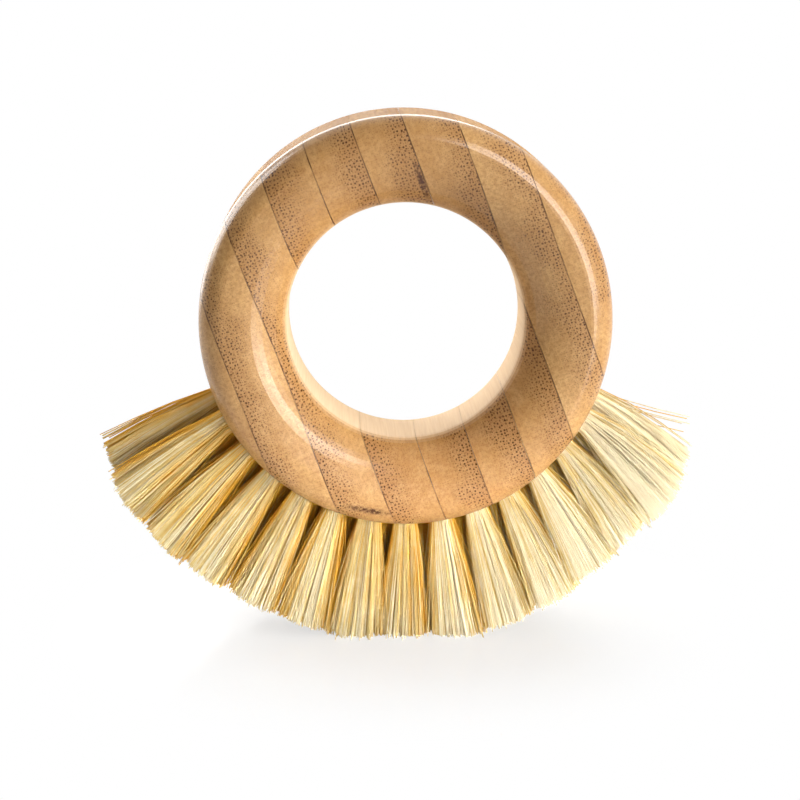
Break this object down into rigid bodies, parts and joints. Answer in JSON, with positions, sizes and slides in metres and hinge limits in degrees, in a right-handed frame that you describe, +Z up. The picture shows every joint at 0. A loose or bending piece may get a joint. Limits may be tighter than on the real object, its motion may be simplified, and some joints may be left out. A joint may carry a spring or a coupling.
{
  "type": "vegetable brush",
  "caption": "Ring-shaped laminated bamboo vegetable brush with a finger hole and rows of trimmed plant-fibre tufts fanning out from its lower rim.",
  "frame": {"origin": "on the surface the brush stands on, below the centre of the ring: middle of the box in X and Y, lowest bristle tips in Z", "axes": "+Z up; Y along the ring's axis, with the front face toward -Y; X across the fan of bristles"},
  "size_m": [0.115, 0.03, 0.102],
  "materials": {
    "bamboo": "laminated bamboo, end grain on the faces, satin varnish",
    "bristle_fibre": "dry, pale straw-coloured plant fibre",
    "anchor_steel": "plain flat steel wire"
  },
  "bodies": {
    "root": {"bamboo_strip_1": "bamboo", "bamboo_strip_2": "bamboo", "bamboo_strip_3": "bamboo", "bamboo_strip_4_upper": "bamboo", "bamboo_strip_4_lower": "bamboo", "bamboo_strip_5_upper": "bamboo", "bamboo_strip_5_lower": "bamboo", "bamboo_strip_6_upper": "bamboo", "bamboo_strip_6_lower": "bamboo", "bamboo_strip_7_upper": "bamboo", "bamboo_strip_7_lower": "bamboo", "bamboo_strip_8": "bamboo", "bamboo_strip_9": "bamboo", "bristles_left_end": "bristle_fibre", "bristles_left_foot": "bristle_fibre", "bristles_right_foot": "bristle_fibre", "bristles_right_end": "bristle_fibre", "staple_front_01": "anchor_steel", "staple_front_02": "anchor_steel", "staple_front_03": "anchor_steel", "staple_front_04": "anchor_steel", "staple_front_05": "anchor_steel", "staple_front_06": "anchor_steel", "staple_front_07": "anchor_steel", "staple_front_08": "anchor_steel", "staple_front_09": "anchor_steel", "staple_front_10": "anchor_steel", "staple_front_11": "anchor_steel", "staple_front_12": "anchor_steel", "staple_front_13": "anchor_steel", "staple_middle_01": "anchor_steel", "staple_middle_02": "anchor_steel", "staple_middle_03": "anchor_steel", "staple_middle_04": "anchor_steel", "staple_middle_05": "anchor_steel", "staple_middle_06": "anchor_steel", "staple_middle_07": "anchor_steel", "staple_middle_08": "anchor_steel", "staple_middle_09": "anchor_steel", "staple_middle_10": "anchor_steel", "staple_middle_11": "anchor_steel", "staple_middle_12": "anchor_steel", "staple_middle_13": "anchor_steel", "staple_middle_14": "anchor_steel", "staple_back_01": "anchor_steel", "staple_back_02": "anchor_steel", "staple_back_03": "anchor_steel", "staple_back_04": "anchor_steel", "staple_back_05": "anchor_steel", "staple_back_06": "anchor_steel", "staple_back_07": "anchor_steel", "staple_back_08": "anchor_steel", "staple_back_09": "anchor_steel", "staple_back_10": "anchor_steel", "staple_back_11": "anchor_steel", "staple_back_12": "anchor_steel", "staple_back_13": "anchor_steel"}
  },
  "joints": []
}
